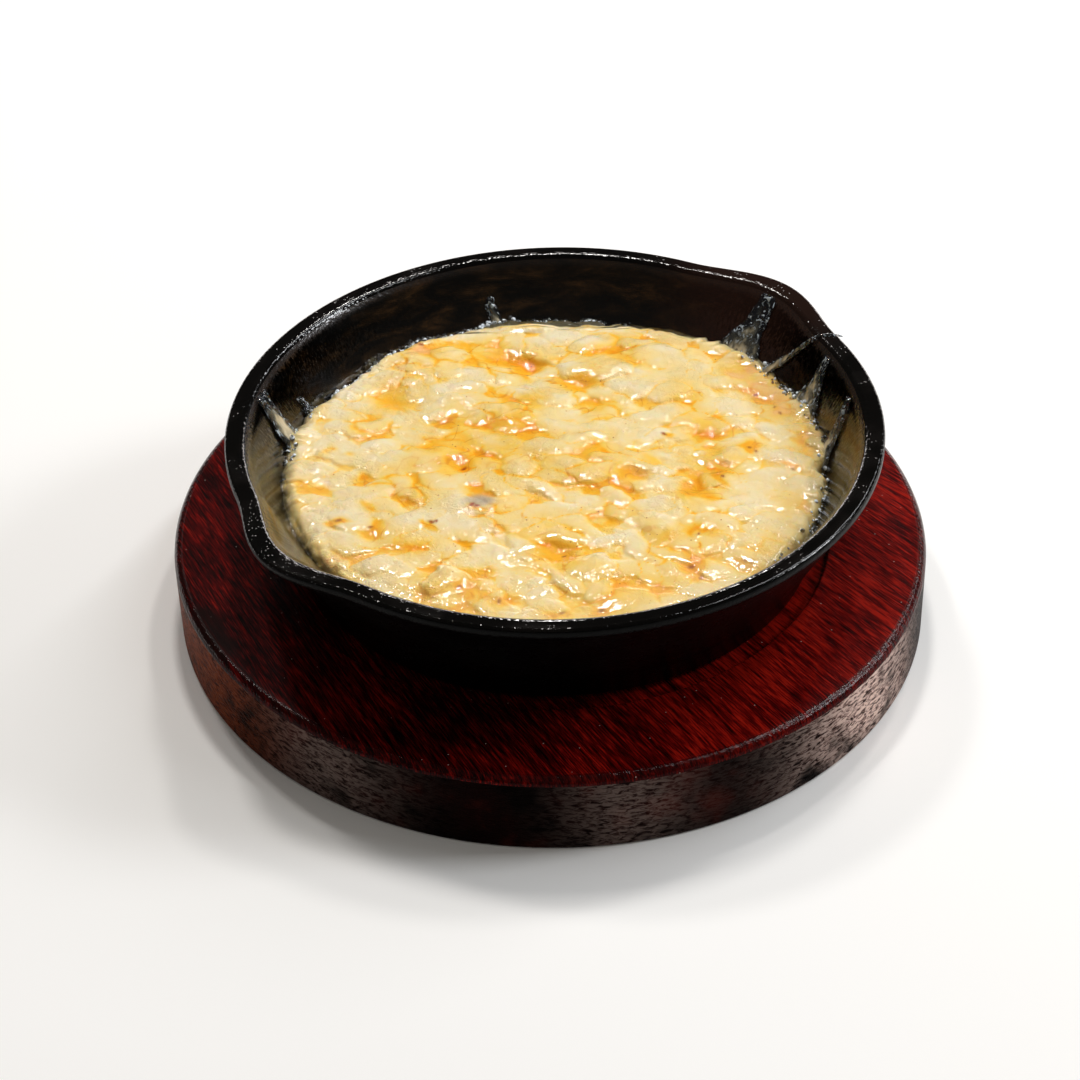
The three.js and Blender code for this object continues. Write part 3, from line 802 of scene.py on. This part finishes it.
move(bm, (co + np.array(PAN_PLACE / MM)) * MM)
top_count = len(bm.verts)
rim_edges = [e for e in bm.edges if e.is_boundary]
for z in SIDE_RINGS:
    made = bmesh.ops.extrude_edge_only(bm, edges=rim_edges)["geom"]
    ring = [g for g in made if isinstance(g, bmesh.types.BMVert)]
    ring_radius = wall_radius(z * MM) + 0.2 * MM - max(0, 30 - z) * 0.5 * MM
    for v in ring:
        flat = (v.co - PAN_PLACE).xy.normalized() * ring_radius
        v.co = (flat.x + PAN_PLACE.x, flat.y + PAN_PLACE.y, z * MM)
    rim_edges = [g for g in made if isinstance(g, bmesh.types.BMEdge)]
bmesh.ops.edgeloop_fill(bm, edges=rim_edges)
bmesh.ops.recalc_face_normals(bm, faces=bm.faces)
below = len(bm.verts) - top_count
finished(
    bm,
    "melted_cheese_surface",
    greasy_cheese(),
    "melted_cheese",
    ["melted_cheese"],
    fat=np.append(fat_and_shade_mark, np.zeros(below)),
    crease=np.append(np.exp(-((clear / 0.15) ** 2)), np.zeros(below)),
    glow=np.append(np.exp(-((clear / 0.6) ** 2)), np.zeros(below)),
    thin=np.append(thin_mark, np.ones(below)),
    bit=np.append(bit_mark, np.zeros(below)),
    border=np.append(wall_shade_mark, np.zeros(below)),
    blistered=np.append(blistered, np.zeros(below)),
    char=np.append(char_mark, np.zeros(below)),
    blush=np.append(blush_mark, np.zeros(below)),
)


# Strings: thin films and threads that the cheese drew up the wall when it boiled. They have dried to a glassy
# skin that clings to the iron, and each grows out of the cheese at its foot.
# Azimuth at the foot and at the tip, height of the tip, width at foot and tip, and how milky each one is.
STRINGS = {
    "string_left": (168, 168, 54.4, 6.0, 4.0, 0.5),
    "string_left_short": (157, 157.5, 45.4, 3, 1.4, 0),
    "string_back": (102.5, 103, 47, 3.2, 1.8, 0.1),
    "string_lip": (43.5, 43.5, 54.6, 11, 3.0, 0.05),
    "string_thread": (36, 26.5, 54.8, 2.6, 1.2, 0.35),
    "string_right_wide": (18.5, 20.5, 54, 9.5, 1.6, 0.30),
    "string_right": (1.5, 7, 53, 6, 1.8, 0.08),
}
# Height of their feet, below the surface of the cheese.
STRING_FOOT_Z = 39.5


def glassy_film():
    """Clear and dark at the tip, thicker and beige at the foot, lumpy and wet, with pale glints painted into
    its colour where it is dark.
    """
    fixed = {"IOR": 1.45, "Coat Roughness": 0.05, "Coat Weight": 0.6}
    material, place = new_finish("glassy_film", fixed)
    foot = mark_wire(place, "foot")
    drawn = place.node("CombineXYZ", None, {0: place.part(0), 1: place.part(1), 2: 0.35 * place.part(2)})
    cloud = drawn.noise(420, 2, 0.5)
    body = (foot + 0.9 * (cloud - 0.5)).step(0.15, 0.85)
    colour = body.ramp(
        (0.0, (0.013, 0.016, 0.021)),
        (0.4, (0.075, 0.078, 0.070)),
        (0.7, (0.26, 0.235, 0.165)),
        (1.0, (0.70, 0.60, 0.41)),
    )
    # Painted highlights: pale blue-grey glint colour where the film is dark.
    glints = drawn.noise(650, 2, 0.5, 1.5).step(0.56, 0.66) * (1 - 0.9 * body)
    colour = glints.blend(colour, (0.42, 0.49, 0.55, 1))
    relief = (1 - 0.6 * body) * drawn.noise(700, 1, 0.5) + 0.5 * place.noise(350, 1)
    alpha = (body + glints).step(0.0, 0.8, 0.4, 1.0)
    gloss = 0.06 + 0.06 * body
    feed(material, base_color=colour, alpha=alpha, roughness=gloss, normal=relief.bump(0.6 * MM, 0.9))
    return material


film = glassy_film()
for name, (start, end, tip_z, foot, tip, milk) in STRINGS.items():
    bm = bmesh.new()
    bmesh.ops.create_cone(bm, cap_ends=True, segments=24, radius1=1, radius2=1, depth=1)
    upright = [e for e in bm.edges if abs(e.verts[0].co.z - e.verts[1].co.z) > 0.5]
    bmesh.ops.subdivide_edges(bm, edges=upright, cuts=40)
    co = places(bm)
    side = co[:, 0]
    up = co[:, 2] + 0.5
    z = STRING_FOOT_Z + (tip_z - STRING_FOOT_Z) * up
    ragged = 1 + 0.10 * np.sin(9 * up + start) + 0.05 * np.sin(21 * up + side)
    ragged += 0.02 * np.sin(47 * up - 2 * side)
    width = 1.4 * (tip + (foot - tip) * (1 - up) ** 1.3) * ragged
    azimuth = start + (end - start) * up + 0.2 * np.sin(7 * up + end)
    wall = wall_radius(z * MM) / MM + LIP_IN / MM * lip_share(azimuth, z * MM)
    across = side * width / 2 / wall
    thickness = 0.9 + 0.3 * np.sin(13 * up + 3 * side) ** 2 + 0.8 * (1 - up) ** 2
    radius = wall - thickness * (1 - co[:, 1]) / 2
    turned = np.radians(azimuth) - across
    co = np.stack([radius * np.cos(turned), radius * np.sin(turned), z], axis=1)
    move(bm, (co + np.array(PAN_PLACE / MM)) * MM)
    bmesh.ops.recalc_face_normals(bm, faces=bm.faces)
    body = milk * np.sin(np.pi * np.clip(up, 0, 1)) ** 0.7 + (1 - milk) * (1 - up) ** 1.3
    finished(bm, name + "_film", film, "cheese_string", [name], foot=body * (1 - 0.75 * side**2))

# The thread goes on over the flat of the rim.
bm = bmesh.new()
bmesh.ops.create_uvsphere(bm, u_segments=32, v_segments=12, radius=1)
co = places(bm)
co[:, 1] *= 0.7 + 0.3 * np.sin(5 * co[:, 0] + 1)
radius = RIM_RADIUS / MM - 2.4 + 3.4 * co[:, 0]
turned = np.radians(25.5 - 1.2 * co[:, 0]) + 0.9 * co[:, 1] / radius
z = rim_z / MM + 0.45 * co[:, 2] - 0.4 * co[:, 0] ** 4
co = np.stack([radius * np.cos(turned), radius * np.sin(turned), z], axis=1)
move(bm, (co + np.array(PAN_PLACE / MM)) * MM)
smear_foot = np.full(len(bm.verts), 0.3)
finished(bm, "string_thread_on_rim", film, "cheese_string", [], foot=smear_foot)


# Bubbles: beads of clear fat that stand along the wall and in the thin edge of the cheese. They are small
# balls of a few dozen faces, scattered by chance in the places where the fat has boiled.
BEAD_COUNT = 820
BEAD_SEED = 31
# Azimuth, half width and share of the beads that stand there.
BEAD_PLACES = [(130, 30, 0.42), (92, 34, 0.32), (172, 14, 0.04), (25, 25, 0.12), (-20, 22, 0.10)]


def clear_fat():
    """Clear fat over the black wall: dark, with pale blue-white glints painted into the colour of some beads.
    """
    fixed = {"IOR": 1.45, "Roughness": 0.05, "Coat Weight": 1.0, "Coat Roughness": 0.03}
    material, place = new_finish("clear_fat", fixed)
    tint = place.noise(700, 1)
    # Painted highlights: the brightest stop gives some beads a blue-white glint.
    colour = tint.ramp((0.42, (0.03, 0.033, 0.03)), (0.50, (0.25, 0.27, 0.25)), (0.57, (0.85, 0.92, 1.0)))
    feed(material, base_color=colour, alpha=tint.step(0.35, 0.55, 0.4, 1.0))
    return material


draw = chance(BEAD_SEED)
beads = []
for _ in range(BEAD_COUNT):
    pick = next(draw)
    for centre, half_angle, share in BEAD_PLACES:
        pick -= share
        if pick < 0:
            break
    azimuth = math.radians(centre + half_angle * (next(draw) + next(draw) - 1))
    inward = 3 * next(draw) ** 2
    beads.append((azimuth, inward, 0.22 + 0.5 * next(draw) ** 2))
azimuths, inwards, sizes = np.array(beads).T
across = surface_wall - inwards
heights, _ = cheese_surface(across * np.cos(azimuths), across * np.sin(azimuths))
across = wall_radius(heights * MM) / MM - inwards - 0.2
ball = bmesh.new()
bmesh.ops.create_uvsphere(ball, u_segments=8, v_segments=5, radius=1)
bm = bmesh.new()
for azimuth, distance, z, size in zip(azimuths, across, heights, sizes):
    flat_place = (distance * math.cos(azimuth), distance * math.sin(azimuth))
    centre = Vector((*flat_place, z + 0.5 * size)) * MM + PAN_PLACE
    corners = [bm.verts.new(centre + v.co * size * MM) for v in ball.verts]
    for face in ball.faces:
        bm.faces.new([corners[v.index] for v in face.verts])
ball.free()
finished(bm, "fat_beads", clear_fat(), "melted_cheese", [])


# Studio: a pale floor, a broad soft light and small lamps above and behind the pan, whose mirror images are
# the wet highlights, and the camera at the place from which the photograph was taken.
def pale_floor():
    material, place = new_finish("pale_floor", {"Roughness": 0.9})
    feed(material, base_color=place.noise(3, 2).ramp((0.3, (0.95, 0.95, 0.94)), (0.7, (0.97, 0.97, 0.96))))
    return material


bm = bmesh.new()
bmesh.ops.create_grid(bm, x_segments=8, y_segments=8, size=6)
mesh = bpy.data.meshes.new("floor")
bm.to_mesh(mesh)
bm.free()
mesh.materials.append(pale_floor())
floor = bpy.data.objects.new("floor", mesh)
bpy.context.scene.collection.objects.link(floor)


def soft_light(name, azimuth, elevation, distance, width, length, power, colour, spin=0, mirrored=True):
    """An area light that faces the pan from a direction in degrees."""
    lamp = bpy.data.lights.new(name, "AREA")
    lamp.shape = "RECTANGLE"
    lamp.size = width
    lamp.size_y = length
    lamp.energy = power
    lamp.color = colour
    holder = bpy.data.objects.new(name, lamp)
    bpy.context.scene.collection.objects.link(holder)
    a, e = math.radians(azimuth), math.radians(elevation)
    away = Vector((math.cos(a) * math.cos(e), math.sin(a) * math.cos(e), math.sin(e)))
    holder.location = away * distance
    facing = away.to_track_quat("Z", "Y").to_matrix() @ Matrix.Rotation(math.radians(spin), 3, "Z")
    holder.rotation_euler = facing.to_euler()
    holder.visible_glossy = mirrored


WARM = (0.97, 0.93, 0.87)
LAMP = (1, 0.96, 0.92)
COOL = (0.95, 0.97, 1)
soft_light("front_ceiling", -75, 64, 1.8, 2.6, 2.2, 7.5, WARM, mirrored=False)
soft_light("left_lamp", 120, 56, 1.6, 0.13, 0.13, 4.2, LAMP)
soft_light("middle_lamp", 92, 64, 1.6, 0.17, 0.17, 7.5, LAMP)
soft_light("right_lamp", 62, 57, 1.6, 0.13, 0.13, 4.2, LAMP)
soft_light("right_window", 5, 34, 1.6, 0.35, 0.35, 8, COOL)
soft_light("right_tube", 31, 51, 1.6, 0.12, 1.3, 7, COOL, 31)
soft_light("back_glow", 85, 6, 1.8, 1.8, 0.3, 8, (1, 0.93, 0.90))

world = bpy.data.worlds.new("studio")
world.use_nodes = True
world.node_tree.nodes["Background"].inputs["Color"].default_value = (0.97, 0.88, 0.78, 1)
world.node_tree.nodes["Background"].inputs["Strength"].default_value = 0.045
bpy.context.scene.world = world
bpy.context.scene.view_settings.view_transform = "Standard"

lens = bpy.data.cameras.new("camera")
lens.lens = 90
lens.sensor_width = 36
lens.clip_start = 0.01
camera = bpy.data.objects.new("camera", lens)
bpy.context.scene.collection.objects.link(camera)
aim = Vector((-2.27, -7.4, 22)) * MM
distance = 692.55 * MM
elevation = math.radians(37.9)
roll = math.radians(-1.59)
turn = Matrix.Rotation(math.pi / 2 - elevation, 4, "X") @ Matrix.Rotation(roll, 4, "Z")
camera.matrix_world = Matrix.Translation(aim + turn.col[2].xyz * distance) @ turn
bpy.context.scene.camera = camera
